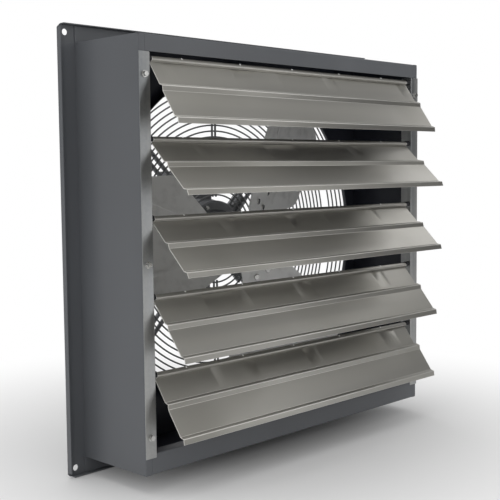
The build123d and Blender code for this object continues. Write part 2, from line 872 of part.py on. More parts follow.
def guard_end_rings():
    """Concentric rings of the end plane."""
    for index in range(guard_ring_count):
        yield guard_ring(guard_ring_first + index * guard_ring_pitch, guard_end_y)


def guard_side_rings():
    """Rings of one size down the basket's side."""
    for index in range(guard_side_ring_count):
        yield guard_ring(guard_side_radius, guard_end_y - (index + 1) * guard_ring_pitch)


def strut(angle, side):
    """One wire of a twin strut: along the end plane, down the side, out along the panel."""
    z = side * strut_spacing / 2
    points = [
        (strut_inner_radius, strut_y, z),
        (strut_side_radius, strut_y, z),
        (strut_side_radius, strut_foot_y, z),
        (strut_foot_radius, strut_foot_y, z),
    ]
    return around(swept(points, strut_wire_radius, strut_bend_radius), angle)


def clip_seat_y():
    """Height of the guard's clips over the panel."""
    return strut_foot_y + strut_wire_radius + weld_gap


def guard_clip(angle):
    """Small plate that holds down the two wires of a strut's foot."""
    half = clip_length / 2
    clip = span(clip_radius() - half, clip_radius() + half, clip_seat_y(), clip_seat_y() + clip_plate,
                -clip_width / 2, clip_width / 2)
    clip -= post(guard_screw_radius + screw_clearance, 0, strut_y, clip_radius())
    return around(clip, angle)


def guard_screw(angle):
    """Screw between the two wires, through clip and panel."""
    seat = clip_seat_y() + clip_plate
    body = post(guard_screw_radius, -guard_screw_tail, seat, clip_radius())
    body += post(guard_screw_head_radius, seat, seat + guard_screw_head, clip_radius())
    return around(body, angle)


def cover_screw_places():
    """Screws of the wiring box cover, at the middle of its front and rear edge."""
    inset = conduit_wall + cover_tab / 2
    return [(0, conduit_front_y + inset), (0, conduit_rear_y - inset)]


def conduit_box():
    """Open-topped wiring box with a saddle floor on the motor shell."""
    wall = conduit_wall
    lid = conduit_top_z - wall
    body = span(-conduit_half_width, conduit_half_width, conduit_front_y, conduit_rear_y, 0, lid)
    cavity = span(-conduit_half_width + wall, conduit_half_width - wall, conduit_front_y + wall,
                  conduit_rear_y - wall, conduit_skirt_z(), lid + overrun)
    body -= cavity - post(motor_radius + conduit_floor, conduit_front_y, conduit_rear_y)
    body -= post(motor_radius + seat_gap, conduit_front_y - overrun, conduit_rear_y + overrun)
    body -= span(-half_width, half_width, 0, motor_rear_y, -half_height, conduit_skirt_z())
    for x, y in cover_screw_places():
        half = cover_tab / 2 + wall / 2
        body += span(x - half, x + half, y - half, y + half, lid - cover_tab_plate, lid)
        body -= Pos(x, y, lid) * Cylinder(cover_screw_radius + seat_gap, 2 * cover_screw_length)
    z = gland_z()
    return body - post(gland_neck_radius + seat_gap, conduit_rear_y - 2 * wall, conduit_rear_y + wall, 0, z)


def conduit_skirt_z():
    """Lower edge of the wiring box, down the flank of the motor."""
    return sqrt(motor_radius**2 - conduit_half_width**2)


def gland_z():
    """Height of the cable gland in the box's rear wall."""
    floor = motor_radius + conduit_floor
    return floor + (conduit_top_z - floor) * gland_z_share


def conduit_cover():
    """Flat lid of the wiring box."""
    reach = conduit_half_width + cover_overhang
    cover = span(-reach, reach, conduit_front_y - cover_overhang, conduit_rear_y + cover_overhang,
                 conduit_top_z - conduit_wall, conduit_top_z)
    for x, y in cover_screw_places():
        cover -= Pos(x, y, conduit_top_z) * Cylinder(cover_screw_radius + seat_gap, overrun)
    return cover


def cover_screw(x, y):
    """Pan head screw of the lid."""
    head = Pos(x, y, conduit_top_z + cover_screw_head / 2) * Cylinder(cover_screw_head_radius, cover_screw_head)
    middle = conduit_top_z - cover_screw_length / 2
    return head + Pos(x, y, middle) * Cylinder(cover_screw_radius, cover_screw_length)


def cable_gland():
    """Cable entry with a hex body outside and a threaded neck inside."""
    z = gland_z()
    mid = conduit_rear_y + gland_length / 2
    body = hex_post(gland_radius, conduit_rear_y, mid, 0, z)
    body += post(gland_radius * cos(radians(30)), mid, conduit_rear_y + gland_length, 0, z)
    inner_end = conduit_rear_y - conduit_wall - gland_nut - screw_clearance
    body += post(gland_neck_radius, inner_end, conduit_rear_y, 0, z)
    return body - post(gland_bore, inner_end - overrun, conduit_rear_y + gland_length + overrun, 0, z)


def gland_locknut():
    """Nut of the gland, inside the wiring box."""
    z = gland_z()
    outer = conduit_rear_y - conduit_wall
    nut = hex_post(gland_radius, outer - gland_nut, outer, 0, z)
    return nut - post(gland_neck_radius + seat_gap, outer - gland_nut - overrun, outer + overrun, 0, z)


os.makedirs("parts", exist_ok=True)

save("left_side_panel", side_panel(-1))
save("right_side_panel", side_panel(1))
save("top_panel", deck(1, top_face_height))
save("bottom_panel", bottom_panel())
save("orifice_panel", orifice_panel())

save("left_shutter_channel", shutter_channel(-1))
save("right_shutter_channel", shutter_channel(1))
save("channel_screws", *[screw(x, z, channel_face_y, -1) for x, z in channel_screw_places()])
save("pivot_bushings", *[bushing(side, z) for side in (-1, 1) for z in pivot_heights])
for number in range(louver_count):
    save(f"louver_blade_{number + 1}", louver_blade(number))
    save(f"louver_rod_{number + 1}", louver_rod(number))

save("propeller_spider", propeller_spider())
for number in range(blade_count):
    save(f"propeller_blade_{number + 1}", propeller_blade(number))
save("blade_rivets", *[rivet(number, place) for number in range(blade_count) for place in rivet_places()])
save("hub_set_screws", *[set_screw(angle) for angle in set_screw_angles()])
save("motor_shaft", post(shaft_radius, shaft_front_y, shaft_rear_y))
save("rotor_core", rotor_core())

save("motor_front_bell", motor_bell(motor_front_y, 1, shaft_radius + bell_bore_gap))
save("motor_rear_bell", motor_bell(motor_rear_y, -1, 0))
save("motor_shell", motor_shell())
save("stator_core", stator_core())
front_winding = winding(stator_front_y - winding_length, stator_front_y)
rear_winding = winding(stator_rear_y, stator_rear_y + winding_length)
save("stator_windings", front_winding, rear_winding)
save("front_bearing", bearing(bearing_front_y))
save("rear_bearing", bearing(bearing_rear_y))
save("motor_through_bolts", *[through_bolt(angle) for angle in through_bolt_angles()])
save("motor_through_nuts", *[through_nut(angle) for angle in through_bolt_angles()])

save("motor_clamp_band", clamp_band())
save("clamp_band_bolt", *band_bolt())
for corner, direction in support_angles.items():
    save(f"motor_support_{corner}", motor_support(direction))
save("support_band_screws", *[band_screw(angle) for angle in support_angles.values()])
foot_places = [(angle, side) for angle in support_angles.values() for side in (-1, 1)]
save("support_foot_bolts", *[support_bolt(angle, side) for angle, side in foot_places])
save("support_foot_nuts", *[support_nut(angle, side) for angle, side in foot_places])

save("guard_end_rings", *guard_end_rings())
save("guard_side_rings", *guard_side_rings())
save("guard_struts", *[strut(angle, side) for angle in strut_angles() for side in (-1, 1)])
save("guard_clips", *[guard_clip(angle) for angle in strut_angles()])
save("guard_screws", *[guard_screw(angle) for angle in strut_angles()])

save("conduit_box", conduit_box())
save("conduit_box_cover", conduit_cover())
save("conduit_cover_screws", *[cover_screw(x, y) for x, y in cover_screw_places()])
save("cable_gland", cable_gland())
save("gland_locknut", gland_locknut())
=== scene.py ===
"""Looks of the exhaust fan with gravity louvers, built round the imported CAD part."""

from __future__ import annotations

import logging
import math
from dataclasses import dataclass
from enum import Enum, IntEnum
from typing import Any, Mapping, Sequence

import bmesh
import bpy
import numpy as np
from mathutils import Matrix, Vector

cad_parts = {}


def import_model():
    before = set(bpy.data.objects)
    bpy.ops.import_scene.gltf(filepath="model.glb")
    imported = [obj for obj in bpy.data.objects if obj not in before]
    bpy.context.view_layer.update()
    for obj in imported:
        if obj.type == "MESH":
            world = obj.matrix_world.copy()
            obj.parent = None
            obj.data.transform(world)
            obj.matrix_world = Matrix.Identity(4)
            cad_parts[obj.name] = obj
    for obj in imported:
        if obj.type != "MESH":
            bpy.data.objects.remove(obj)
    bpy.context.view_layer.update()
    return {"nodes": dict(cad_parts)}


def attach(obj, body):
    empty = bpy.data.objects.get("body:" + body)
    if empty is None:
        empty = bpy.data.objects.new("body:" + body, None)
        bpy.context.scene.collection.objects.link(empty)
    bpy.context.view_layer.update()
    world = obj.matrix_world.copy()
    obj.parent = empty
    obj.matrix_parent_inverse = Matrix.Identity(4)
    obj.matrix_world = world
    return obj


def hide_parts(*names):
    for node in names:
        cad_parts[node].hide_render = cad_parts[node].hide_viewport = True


log = logging.getLogger("exhaust_fan")

Triple = tuple[float, float, float]
Colour = tuple[float, float, float]
Span = tuple[float, float]
Nodes = Mapping[str, bpy.types.Object]

MM = 0.001
WHITE = (1.0, 1.0, 1.0, 1.0)

# The display curve: straight up to its knee, then a power of the offset value
KNEE, SLOPE, OFFSET, POWER = 0.04045, 12.92, 0.055, 2.4

# Parts of a noise's range over which a pattern comes in
WIDE, MOST, CORE, UPPER = (0.2, 0.8), (0.25, 0.75), (0.3, 0.7), (0.45, 0.8)

# Sockets of the Mix node when it mixes colours
MIX_FACTOR, MIX_FIRST, MIX_SECOND, MIX_RESULT = 0, 6, 7, 2

# Metres after which a wave texture of scale 1 repeats
WAVE_LENGTH = 0.314

# Edges that turn more than this stay sharp, on new sheets and on eased CAD shapes
SHEET_SHARP, EASED_SHARP = math.radians(34.0), math.radians(32.0)

# Clean-up of a copied CAD mesh: how near points are merged, before and after its bends are rounded, how level
# neighbouring faces are joined, and how short an edge is taken out
ONE_POINT, ONE_BENT_POINT, LEVEL, SHORT = 0.001 * MM, 0.01 * MM, math.radians(0.4), 0.005 * MM

# How near an edge lies to a fold line, and how near two lengths are equal, in mm
FOLD_REACH, EQUAL = 0.05, 1e-6


def shade(colour: Colour, factor: float = 1.0) -> tuple[float, float, float, float]:
    """Linear colour from display values between 0 and 1.

    Args:
        colour: display red, green and blue.
        factor: makes the display values lighter or darker.

    Returns:
        Linear red, green, blue and a full alpha.
    """
    display = np.array(colour) * factor
    linear = np.where(display <= KNEE, display / SLOPE, ((display + OFFSET) / (1.0 + OFFSET)) ** POWER)
    return (*linear.tolist(), 1.0)


class Signal:
    """A node's output with Python operators, so that shader maths reads as an expression."""

    def __init__(self, graph: Graph, socket: bpy.types.NodeSocket) -> None:
        """Wraps the socket of a graph's node."""
        self.graph = graph
        self.socket = socket

    def _math(self, operation: str, other: Any, reflected: bool = False) -> Signal:
        """Math node on this signal and another value, in either order."""
        first, second = (other, self) if reflected else (self, other)
        return self.graph.node("Math", {"operation": operation}, {0: first, 1: second})

    def __add__(self, other: Any) -> Signal:
        """Sum."""
        return self._math("ADD", other)

    __radd__ = __add__

    def __sub__(self, other: Any) -> Signal:
        """Difference."""
        return self._math("SUBTRACT", other)

    def __rsub__(self, other: Any) -> Signal:
        """Difference with this signal taken away."""
        return self._math("SUBTRACT", other, reflected=True)

    def __mul__(self, other: Any) -> Signal:
        """Product."""
        return self._math("MULTIPLY", other)

    __rmul__ = __mul__

    def __abs__(self) -> Signal:
        """Size without sign."""
        return self._math("ABSOLUTE", 0.0)

    def larger(self, other: Any) -> Signal:
        """The larger of two values."""
        return self._math("MAXIMUM", other)

    def below(self, limit: float) -> Signal:
        """1 where this signal is less than the limit, else 0."""
        return self._math("LESS_THAN", limit)

    def step(self, low: float, high: float, start: float = 0.0, end: float = 1.0) -> Signal:
        """Smooth step of this signal.

        Args:
            low: value where the step begins.
            high: value where the step ends.
            start: result at and before low.
            end: result at and after high.

        Returns:
            The stepped signal.
        """
        values = {"Value": self, "From Min": low, "From Max": high, "To Min": start, "To Max": end}
        return self.graph.node("MapRange", {"interpolation_type": "SMOOTHSTEP"}, values)


@dataclass(frozen=True)
class Pattern:
    """A noise: features per metre, octaves, and a factor on each axis, small along the way that it runs."""

    scale: float
    detail: float = 2.0
    stretch: Triple = (1.0, 1.0, 1.0)


class Graph:
    """The node tree of one material or world, and the one method that makes its nodes."""

    def __init__(self, owner: bpy.types.Material | bpy.types.World) -> None:
        """Gives a material or a world an empty node tree."""
        owner.use_nodes = True
        self.tree = owner.node_tree
        self.tree.nodes.clear()

    def node(
        self,
        kind: str,
        settings: Mapping[str, Any] | None = None,
        inputs: Mapping[int | str, Any] | None = None,
        output: int | str = 0,
    ) -> Signal:
        """Makes a node.

        Args:
            kind: the node's type, such as Math for a ShaderNodeMath.
            settings: its own settings.
            inputs: value or signal for each socket, by index or name.
            output: the socket that is returned.

        Returns:
            The chosen output, or the first input of a node that has no outputs.
        """
        made = self.tree.nodes.new(f"ShaderNode{kind}")
        for key, value in (settings or {}).items():
            setattr(made, key, value)
        for key, value in (inputs or {}).items():
            if isinstance(value, Signal):
                self.tree.links.new(value.socket, made.inputs[key])
            else:
                made.inputs[key].default_value = value
        return Signal(self, (made.outputs or made.inputs)[output])

    def place(self, stretch: Triple = (1.0, 1.0, 1.0)) -> Signal:
        """Object coordinates in metres, scaled along each axis."""
        spot = self.node("TexCoord", output="Object")
        return self.node("Mapping", inputs={"Vector": spot, "Scale": stretch})

    def axis(self, name: str) -> Signal:
        """One object coordinate, X, Y or Z, in metres."""
        spot = self.node("TexCoord", output="Object")
        return self.node("SeparateXYZ", inputs={0: spot}, output=name)

    def noise(self, pattern: Pattern) -> Signal:
        """Noise between 0 and 1."""
        inputs = {"Vector": self.place(pattern.stretch), "Scale": pattern.scale, "Detail": pattern.detail}
        return self.node("TexNoise", inputs=inputs)

    def blend(self, factor: Any, first: Any, second: Any) -> Signal:
        """Colour between two colours."""
        settings, values = {"data_type": "RGBA"}, {MIX_FACTOR: factor, MIX_FIRST: first, MIX_SECOND: second}
        return self.node("Mix", settings, values, MIX_RESULT)

    def bump(self, height: Signal, depth: float, strength: float) -> Signal:
        """Normal raised by a height between 0 and 1, which is depth metres at 1, by a share of the effect."""
        return self.node("Bump", inputs={"Height": height, "Distance": depth, "Strength": strength})


@dataclass(frozen=True)
class Finish:
    """A surface finish: a name, the record's slot, and what its shader starts from.

    The gloss is how far the roughness goes below and above its own value. The relief is the bump's depth in
    metres and its strength.
    """

    name: str
    slot: str
    colour: Colour
    roughness: float = 0.5
    metallic: float = 0.0
    gloss: Span = (0.0, 0.0)
    relief: Span = (0.0, 1.0)

    def paint(self, graph: Graph) -> dict[str, Any]:
        """Sockets that vary over the surface; a plain finish has only its constants."""
        return {}

    def rough(self, noise: Signal, span: Span) -> Signal:
        """Roughness that follows a noise over part of its range."""
        below, above = self.gloss
        return noise.step(*span, self.roughness + below, self.roughness + above)

    def material(self) -> bpy.types.Material:
        """Makes the finish's material at its first use.

        Returns:
            The material.
        """
        known = bpy.data.materials.get(self.name)
        if known is not None:
            return known
        made = bpy.data.materials.new(self.name)
        graph = Graph(made)
        sockets = {"Base Color": shade(self.colour), "Roughness": self.roughness, "Metallic": self.metallic}
        sockets.update(self.paint(graph))
        shader = graph.node("BsdfPrincipled", inputs=sockets)
        graph.node("OutputMaterial", inputs={"Surface": shader})
        return made


@dataclass(frozen=True)
class PowderCoat(Finish):
    """Satin powder coat: fine orange peel, a barely uneven tone, a film of dust in long streaks."""

    gloss: Span = (-0.04, 0.05)
    relief: Span = (0.000025, 0.5)
    peel: Pattern = Pattern(700.0, 1.0)
    clouds: Pattern = Pattern(3.5)
    cloudy: float = 0.035
    streaks: Pattern = Pattern(9.0, 3.0, (1.0, 1.0, 0.15))
    streaked: Span = (0.5, 0.85)
    dust: Colour = (0.52, 0.53, 0.54)
    dusty: float = 0.1

    def paint(self, graph: Graph) -> dict[str, Any]:
        """Clouded colour and roughness over orange peel.

        Args:
            graph: the material's nodes.

        Returns:
            Colour, roughness and normal.
        """
        clouds, streaks = graph.noise(self.clouds), graph.noise(self.streaks)
        darker, lighter = shade(self.colour, 1.0 - self.cloudy), shade(self.colour, 1.0 + self.cloudy)
        tone = graph.blend(clouds.step(*MOST), darker, lighter)
        film = streaks.step(*self.streaked, 0.0, self.dusty)
        peel = graph.noise(self.peel)
        return {
            "Base Color": graph.blend(film, tone, shade(self.dust)),
            "Roughness": self.rough(clouds, WIDE),
            "Normal": graph.bump(peel, *self.relief),
        }


@dataclass(frozen=True)
class BoxCoatWithPaintedShade(PowderCoat):
    """Powder coat with a painted shade on the box's inner walls, whose walls are given in metres."""

    # Colour of the painted shade on the box's inner walls, in place of the shade that falls there
    painted_inner_shade: Colour = (0.17, 0.18, 0.215)
    half_width: float = 0.3488
    half_height: float = 0.3288
    front: float = -0.1558
    back: float = 0.0006

    def paint(self, graph: Graph) -> dict[str, Any]:
        """The coat, with a darker painted shade wherever a point lies between the box's own walls.

        Args:
            graph: the material's nodes.

        Returns:
            Colour, roughness and normal.
        """
        sockets = super().paint(graph)
        depth = graph.axis("Y")
        in_painted_shade = abs(graph.axis("X")).below(self.half_width) * abs(graph.axis("Z")).below(self.half_height)
        in_painted_shade = in_painted_shade * (1.0 - depth.below(self.front)) * depth.below(self.back)
        # Painted shade: the darker colour stands in for the shade between the box's walls
        sockets["Base Color"] = graph.blend(in_painted_shade, sockets["Base Color"], shade(self.painted_inner_shade))
        return sockets


@dataclass(frozen=True)
class MillSheet(Finish):
    """Bare rolled sheet: soft bands along one axis, faint handling marks and a painted highlight on its bends and
    ends.

    The painted highlight fades towards high X over one span of X in metres, and the dull end at low X over
    another.
    """

    gloss: Span = (-0.03, 0.03)
    bands: Pattern = Pattern(34.0, 1.0, (0.04, 1.0, 1.0))
    bright: Colour = (0.735, 0.727, 0.7)
    marks: Pattern = Pattern(9.0, 1.0, (0.6, 1.0, 1.0))
    mark: Colour = (0.63, 0.62, 0.59)
    mark_tone: tuple[float, float, float, float] = (0.45, 0.75, 0.0, 0.45)
    mark_rough: float = 0.06
    # Near-white colour of the painted highlight along the sheet's bends and ends
    painted_highlight: Colour = (0.96, 0.955, 0.94)
    painted_highlight_rough: float = 0.3
    painted_highlight_fades: Span = (-0.1, 0.3)
    painted_highlight_right: float = 0.35
    dull_fades: Span = (-0.32, 0.02)
    dull_left: float = 0.2

    def paint(self, graph: Graph) -> dict[str, Any]:
        """Bands along the sheet, wide soft marks, a duller low-X end, and a painted highlight on the bends and
        ends.

        Args:
            graph: the material's nodes.

        Returns:
            Colour and roughness.
        """
        bands, marks = graph.noise(self.bands), graph.noise(self.marks)
        painted_highlight_share = graph.node("Attribute", {"attribute_name": "painted_highlight_share"}, output="Fac")
        painted_highlight_share = painted_highlight_share * graph.axis("X").step(*self.painted_highlight_fades, 1.0, self.painted_highlight_right)
        tone = graph.blend(bands.step(*MOST), shade(self.colour), shade(self.bright))
        tone = graph.blend(marks.step(*self.mark_tone), tone, shade(self.mark))
        rough = self.rough(bands, MOST)
        rough = rough + graph.axis("X").step(*self.dull_fades, self.dull_left, 0.0)
        return {
            # Painted highlight: a near-white colour, and more roughness, where the sheet bends and at its ends
            "Base Color": graph.blend(painted_highlight_share, tone, shade(self.painted_highlight)),
            "Roughness": rough + marks.step(*UPPER, 0.0, self.mark_rough) + painted_highlight_share * self.painted_highlight_rough,
        }


@dataclass(frozen=True)
class Galvanised(Finish):
    """Zinc-coated sheet with a faint spangle and long soft streaks; the shares are of both and of patches."""

    gloss: Span = (-0.06, 0.07)
    relief: Span = (0.000008, 0.4)
    dull: Colour = (0.6, 0.61, 0.62)
    spangles: float = 260.0
    streaks: Pattern = Pattern(70.0, 3.0, (1.0, 1.0, 0.03))
    patches: Pattern = Pattern(7.0)
    shares: Triple = (0.12, 0.48, 0.4)
    skin: Pattern = Pattern(160.0)

    def paint(self, graph: Graph) -> dict[str, Any]:
        """Long streaks with a trace of spangle.

        Args:
            graph: the material's nodes.

        Returns:
            Colour, roughness and normal.
        """
        inputs = {"Vector": graph.place(), "Scale": self.spangles}
        cells = graph.node("TexVoronoi", {"feature": "F1"}, inputs, "Color")
        spangle = graph.node("SeparateColor", inputs={0: cells}, output="Red")
        streaks, patches = graph.noise(self.streaks), graph.noise(self.patches)
        of_spangle, of_streaks, of_patches = self.shares
        mix = spangle * of_spangle + streaks.step(*MOST) * of_streaks + patches.step(*CORE) * of_patches
        return {
            "Base Color": graph.blend(mix, shade(self.dull), shade(self.colour)),
            "Roughness": self.rough(streaks, WIDE),
            "Normal": graph.bump(graph.noise(self.skin), *self.relief),
        }


@dataclass(frozen=True)
class Metal(Finish):
    """Turned, drawn or cast metal with a fine grain and dull stains."""

    relief: Span = (0.00002, 0.7)
    grain: Pattern = Pattern(1200.0)
    stains: Pattern = Pattern(45.0, 4.0)
    stain: Colour = (0.3, 0.29, 0.27)
    stained: float = 0.3
    stain_rough: float = 0.25

    def paint(self, graph: Graph) -> dict[str, Any]:
        """Grain in the normal, stains in colour and roughness.

        Args:
            graph: the material's nodes.

        Returns:
            Colour, roughness and normal.
        """
        grain, stains = graph.noise(self.grain), graph.noise(self.stains)
        amount = stains.step(*UPPER, 0.0, self.stained)
        return {
            "Base Color": graph.blend(amount, shade(self.colour), shade(self.stain)),
            "Roughness": amount * self.stain_rough + self.roughness,
            "Normal": graph.bump(grain, *self.relief),
        }


@dataclass(frozen=True)
class Moulded(Finish):
    """Moulded nylon with a faint texture."""

    gloss: Span = (-0.07, 0.07)
    relief: Span = (0.00003, 0.6)
    grain: Pattern = Pattern(1600.0)
    sheen: Pattern = Pattern(60.0)

    def paint(self, graph: Graph) -> dict[str, Any]:
        """Fine texture and a slightly uneven sheen."""
        grain, sheen = graph.noise(self.grain), graph.noise(self.sheen)
        return {"Roughness": self.rough(sheen, WIDE), "Normal": graph.bump(grain, *self.relief)}


@dataclass(frozen=True)
class Laminated(Finish):
    """Edges of stacked steel sheets, a pitch in metres apart."""

    relief: Span = (0.0001, 0.6)
    pitch: float = 0.0009
    gap: Colour = (0.22, 0.21, 0.2)

    def paint(self, graph: Graph) -> dict[str, Any]:
        """Sheet edges as fine bands along Y.

        Args:
            graph: the material's nodes.

        Returns:
            Colour and normal.
        """
        settings = {"wave_type": "BANDS", "bands_direction": "Y"}
        inputs = {"Vector": graph.place(), "Scale": WAVE_LENGTH / self.pitch}
        bands = graph.node("TexWave", settings, inputs, "Fac")
        return {
            "Base Color": graph.blend(bands, shade(self.gap), shade(self.colour)),
            "Normal": graph.bump(bands, *self.relief),
        }


# The grain of drawn rods and of ground shafts, which lie along X and Y
DRAWN, GROUND = Pattern(1200.0, 2.0, (0.02, 1.0, 1.0)), Pattern(1200.0, 2.0, (1.0, 0.02, 1.0))


class Palette(Enum):
    """Every finish of the fan by its place."""

    # The housing's coat carries a painted shade on the box's inner walls
    HOUSING = BoxCoatWithPaintedShade("housing_powder_coat", "housing_paint", (0.375, 0.385, 0.4), 0.4)
    LOUVER = MillSheet("louver_mill_sheet", "louver_aluminium", (0.7, 0.692, 0.67), 0.33, 0.9)
    CHANNEL = Galvanised("channel_galvanised", "galvanised", (0.78, 0.78, 0.77), 0.41, 1.0)
    ZINC = Metal("zinc_screws", "zinc", (0.86, 0.86, 0.85), 0.24, 1.0)
    # The crimps' near-white colour is a painted glint: it stands in for the highlights on the small aluminium
    # domes
    CRIMP = Metal("crimps_painted_glint", "louver_aluminium", (0.98, 0.98, 0.975), 0.35, 0.1)
    BUSHING = Moulded("bushing_nylon", "bushing_nylon", (0.07, 0.07, 0.075), 0.45)
    ROD = Metal("drawn_rod_steel", "steel", (0.6, 0.59, 0.57), 0.3, 1.0, grain=DRAWN)
    SHAFT = Metal("ground_shaft_steel", "steel", (0.68, 0.67, 0.66), 0.22, 1.0, grain=GROUND)
    BLADE = Metal(
        "propeller_sheet", "blade_aluminium", (0.93, 0.93, 0.925), 0.32, 0.25, grain=Pattern(500.0), stained=0.2
    )
    CAST = Metal(
        "spider_cast", "cast_aluminium", (0.66, 0.66, 0.65), 0.5, 1.0, relief=(0.00008, 0.7), grain=Pattern(700.0)
    )
    WIRE = PowderCoat("guard_wire_coat", "guard_wire", (0.46, 0.465, 0.47), 0.4)
    SUPPORT = PowderCoat("support_coat", "support_paint", (0.56, 0.565, 0.575), 0.4)
    MOTOR = PowderCoat("motor_enamel", "motor_paint", (0.43, 0.435, 0.445), 0.36, peel=Pattern(500.0, 1.0))
    LAMINATION = Laminated("core_laminations", "lamination", (0.5, 0.49, 0.48), 0.45, 1.0)
    COPPER = Metal("winding_copper", "winding_copper", (0.8, 0.48, 0.3), 0.35, 1.0)
    GLAND = Moulded("gland_nylon", "gland_nylon", (0.09, 0.09, 0.095), 0.5)


# Nodes that keep their CAD mesh and only take a finish
NODE_FINISHES: dict[Palette, tuple[str, ...]] = {
    Palette.BUSHING: ("pivot_bushings",),
    Palette.ROD: tuple(f"louver_rod_{n}" for n in range(1, 6)),
    Palette.SHAFT: ("motor_shaft", "front_bearing", "rear_bearing"),
    Palette.WIRE: ("guard_end_rings", "guard_side_rings", "guard_struts"),
    Palette.ZINC: ("hub_set_screws",),
    Palette.LAMINATION: ("stator_core", "rotor_core"),
    Palette.COPPER: ("stator_windings",),
}


def dress(piece: bpy.types.Object, finish: Palette) -> None:
    """Gives every slot of a piece one finish.

    Args:
        piece: object to dress.
        finish: finish from the palette.
    """
    material = finish.value.material()
    if not piece.material_slots:
        piece.data.materials.append(material)
    for slot in piece.material_slots:
        slot.material = material
    log.info("%s has %s", piece.name, finish.value.name)


def settle(piece: bpy.types.Object, finish: Palette, body: str, *nodes: str) -> None:
    """Dresses a new piece, puts it on its body and hides the nodes that it stands for.

    Args:
        piece: the new piece.
        finish: finish from the palette.
        body: body that it moves with.
        nodes: CAD nodes that it stands for, if any.
    """
    dress(piece, finish)
    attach(piece, body)
    if nodes:
        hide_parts(*nodes)


def put(data: bpy.types.ID) -> bpy.types.Object:
    """Puts a mesh, a lamp or a camera into the scene.

    Args:
        data: what the object holds.

    Returns:
        The object, at the origin and with the same name.
    """
    made = bpy.data.objects.new(data.name, data)
    bpy.context.scene.collection.objects.link(made)
    return made


def smooth(mesh: bpy.types.Mesh) -> None:
    """Shades every face smooth."""
    mesh.polygons.foreach_set("use_smooth", np.ones(len(mesh.polygons), bool))


def surface(name: str, points: np.ndarray, faces: Sequence[Sequence[int]]) -> bpy.types.Mesh:
    """Makes a smooth mesh.

    Args:
        name: name of the mesh.
        points: points as rows, in metres.
        faces: numbers of each face's points.

    Returns:
        The mesh.
    """
    mesh = bpy.data.meshes.new(name)
    mesh.from_pydata(points.tolist(), [], faces)
    mesh.validate()
    smooth(mesh)
    return mesh


def full_turn(count: int) -> np.ndarray:
    """Angles of a full turn in equal steps, from 0."""
    return np.linspace(0.0, 2.0 * math.pi, count + 1)[:-1]


@dataclass(frozen=True)
class Lamp:
    """A soft rectangular lamp, in metres and watts."""

    name: str
    spot: Triple
    width: float
    height: float
    power: float
    target: Triple = (0.0, 0.0, 0.0)

    def build(self) -> None:
        """Hangs the lamp with its -Z towards the target; the camera doesn't see it."""
        data = bpy.data.lights.new(self.name, "AREA")
        data.shape = "RECTANGLE"
        data.size = self.width
        data.size_y = self.height
        data.energy = self.power
        lamp = put(data)
        aim = Vector(self.target) - Vector(self.spot)
        lamp.location = self.spot
        lamp.rotation_mode = "QUATERNION"
        lamp.rotation_quaternion = aim.to_track_quat("-Z", "Y")
        lamp.visible_camera = False


